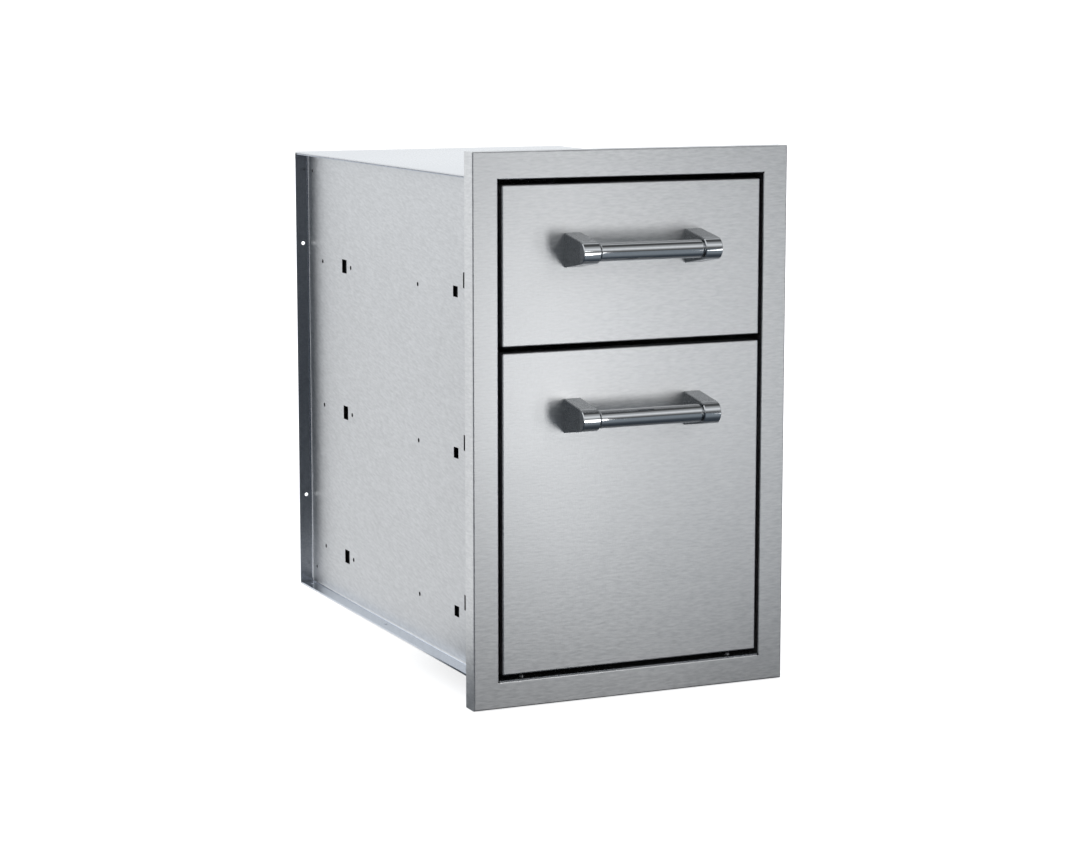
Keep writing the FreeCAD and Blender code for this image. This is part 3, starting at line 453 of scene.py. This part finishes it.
fasteners("frame_screws", screw_rings(*FRAME_SCREW), [
    ((side * FRAME_SCREW_X, FRAME_SCREW_DEPTH, height), facing)
    for side in SIDES for facing, height in FRAME_SCREW_HEIGHTS.items()])
fasteners("bracket_screws", screw_rings(*BRACKET_SCREW), [
    ((side * BRACKET_SCREW_X, depth, row), "left" if side > 0 else "right")
    for row in SLIDE_ROWS.values() for side in SIDES for depth in BRACKET_SCREW_DEPTHS])
for drawer, row in HANDLE_ROWS.items():
    fasteners(drawer + "_handle_screws", screw_rings(*HANDLE_SCREW), [
        ((side * HANDLE_SCREW_X, HANDLE_SCREW_DEPTH, row), "back") for side in SIDES])
for drawer, row in SLIDE_ROWS.items():
    fasteners(drawer + "_drawer_rivets", rivet_rings(*DRAWER_RIVET), [
        ((side * RIVET_X, depth, row), "right" if side > 0 else "left")
        for side in SIDES for depth in RIVET_DEPTHS])


# Floor, studio and lamps

WHITE = (1.0, 1.0, 1.0)
WALL_COLOUR = (0.94, 0.97, 1.0)
FLOOR_COLOUR = (0.8, 0.8, 0.8)
FRONT_FLOOR_COLOUR = (0.055, 0.07, 0.09)
FRONT_FLOOR_GLOW = (0.82, 0.92, 1.0)
FLOOR_HALF, FLOOR_Z = 12.0, -0.001
LAMP_AIM = (0.0, -0.3, 0.35)

# (bearing, level) of the walls, and (height, level) of the band of light in front.
# In degrees: bearing 0 is the front, 90 the right, -90 the left, and height 90 is straight up.
WALLS = ((-180.0, 1.15), (-125.0, 1.15), (-105.0, 1.0), (-75.0, 1.0), (-60.0, 0.2), (-15.0, 0.2),
         (0.0, 0.2), (80.0, 0.05), (102.0, 0.05), (122.0, 1.15), (180.0, 1.15))
BAND = ((-10.0, 0.13), (4.0, 0.13), (11.0, 0.2), (22.0, 0.65), (32.0, 1.05), (43.0, 0.6),
        (53.0, 0.38), (60.0, 0.08), (66.0, 0.03), (90.0, 0.03))

# Name, place, size and radiance
SOFTBOXES = (
    ("left_low_softbox", (0.425, -1.6, 0.15), (0.22, 0.28), 6.6),
    ("left_softbox", (0.425, -1.6, 0.42), (0.22, 0.28), 2.7),
    ("left_high_softbox", (0.425, -1.6, 1.0), (0.22, 0.28), 2.3),
    ("right_low_softbox", (0.88, -1.6, 0.15), (0.2, 0.28), 3.05),
    ("right_softbox", (0.88, -1.6, 0.42), (0.2, 0.28), 2.45),
)


def seen_directly(tree):
    """1 for what the camera sees, also through clear materials, and 0 for all else."""
    rays = node(tree, "ShaderNodeLightPath").outputs
    return maths(tree, "MAXIMUM", rays["Is Camera Ray"], rays["Is Transmission Ray"])


def build_world():
    """A white sweep behind and at the left, and a dim room in front with one soft band of light."""
    world = bpy.data.worlds.new("studio")
    bpy.context.scene.world = world
    world.use_nodes = True
    tree = world.node_tree
    tree.nodes.clear()
    way = coordinates(tree, "Generated")
    degrees = 180.0 / math.pi
    ahead = maths(tree, "MULTIPLY", way["Y"], -1.0)
    bearing = maths(tree, "MULTIPLY", maths(tree, "ARCTAN2", way["X"], ahead), degrees)
    height = maths(tree, "MULTIPLY", maths(tree, "ARCSINE", way["Z"]), degrees)
    # The band fades out at both sides of a beam
    band = curve(tree, height, -90.0, 90.0, BAND)
    beam = window(tree, bearing, (6.0, 20.0), (80.0, 58.0))
    band = between(tree, beam, 0.1, band)
    # Above the dark corner at the left of the front, the wall is pale
    pale = maths(tree, "MULTIPLY", ramp(tree, height, 14.0, 30.0, 0.0, 0.6),
                 window(tree, bearing, (-75.0, -60.0), (0.0, -15.0)))
    walls = maths(tree, "ADD", curve(tree, bearing, -180.0, 180.0, WALLS), pale)
    walls = maths(tree, "MULTIPLY", walls, ramp(tree, height, 42.0, 58.0, 1.0, 0.6))
    in_front = window(tree, bearing, (-8.0, 8.0), (108.0, 98.0))
    level = between(tree, in_front, walls, band)
    # Overhead light; it stays clear of the part that the handle bars mirror
    overhead = maths(tree, "MULTIPLY", ramp(tree, height, 50.0, 62.0, 0.0, 0.6),
                     ramp(tree, bearing, 40.0, 24.0))
    overhead = maths(tree, "MAXIMUM", ramp(tree, height, 66.0, 76.0, 0.0, 0.6), overhead)
    level = maths(tree, "MAXIMUM", level, overhead)
    direct = seen_directly(tree)
    room = node(tree, "ShaderNodeBackground")
    feed(tree, mix_colours(tree, direct, WALL_COLOUR, WHITE), room, "Color")
    feed(tree, maths(tree, "MAXIMUM", direct, level), room, "Strength")
    out = node(tree, "ShaderNodeOutputWorld")
    join(tree, room, "Background", out, "Surface")


def build_floor():
    """A pale floor that looks white, keeps the soft shadow, and mirrors dimmer in front."""
    mesh = bpy.data.meshes.new("floor")
    corners = ((-1, -1), (1, -1), (1, 1), (-1, 1))
    mesh.from_pydata([(x * FLOOR_HALF, y * FLOOR_HALF, FLOOR_Z) for x, y in corners], [],
                     [(0, 1, 2, 3)])
    floor = bpy.data.objects.new("floor", mesh)
    bpy.context.collection.objects.link(floor)
    material, tree, shader = new_material("floor")
    shader.inputs["Roughness"].default_value = 0.9
    shader.inputs["Specular IOR Level"].default_value = 0.0
    place = coordinates(tree)
    distance = node(tree, "ShaderNodeVectorMath", operation="LENGTH")
    join(tree, node(tree, "ShaderNodeTexCoord"), "Object", distance, "Vector")
    direct = seen_directly(tree)
    glossy = node(tree, "ShaderNodeLightPath").outputs["Is Glossy Ray"]
    # Reflections see a dimmer floor in front than behind, dimmest at the left
    behind = ramp(tree, place["Y"], -0.08, 0.06)
    front = maths(tree, "SUBTRACT", 1.0, behind)
    mirrored_front = maths(tree, "MULTIPLY", glossy, front)
    colour = mix_colours(tree, mirrored_front, FLOOR_COLOUR, FRONT_FLOOR_COLOUR)
    feed(tree, colour, shader, "Base Color")
    away = maths(tree, "MULTIPLY", front, ramp(tree, place["Y"], -0.9, -0.45, 1.0, 0.1))
    level = maths(tree, "ADD", maths(tree, "MULTIPLY", behind, 0.45),
                  maths(tree, "MULTIPLY", away, ramp(tree, place["X"], -0.5, 0.1, 0.05, 0.24)))
    lift = ramp(tree, distance.outputs["Value"], 0.6, 2.5, 0.75, 1.0)
    glow = maths(tree, "ADD", maths(tree, "MULTIPLY", direct, lift),
                 maths(tree, "MULTIPLY", glossy, level))
    feed(tree, glow, shader, "Emission Strength")
    feed(tree, mix_colours(tree, mirrored_front, WHITE, FRONT_FLOOR_GLOW), shader, "Emission Color")
    mesh.materials.append(material)


def softbox(name, place, size, radiance):
    """An area lamp; its power in watts is its radiance times its area times pi."""
    data = bpy.data.lights.new(name, "AREA")
    data.shape = "RECTANGLE"
    data.size, data.size_y = size
    data.energy = radiance * size[0] * size[1] * math.pi
    lamp = bpy.data.objects.new(name, data)
    bpy.context.collection.objects.link(lamp)
    lamp.location = place
    lamp.rotation_euler = (Vector(LAMP_AIM) - Vector(place)).to_track_quat("-Z", "Y").to_euler()


build_world()
build_floor()
for values in SOFTBOXES:
    softbox(*values)


# Camera

camera_data = bpy.data.cameras.new("camera")
camera_data.sensor_width = 36.0
camera_data.sensor_fit = "HORIZONTAL"
camera_data.lens = 91.531
camera_data.clip_start = 0.05
camera = bpy.data.objects.new("camera", camera_data)
bpy.context.collection.objects.link(camera)
bpy.context.scene.camera = camera
camera.location = (-1.41165, -3.14656, 0.8042)
camera.rotation_euler = (math.radians(81.336), 0.0, math.radians(-24.321))

bpy.context.scene.view_settings.view_transform = "Standard"
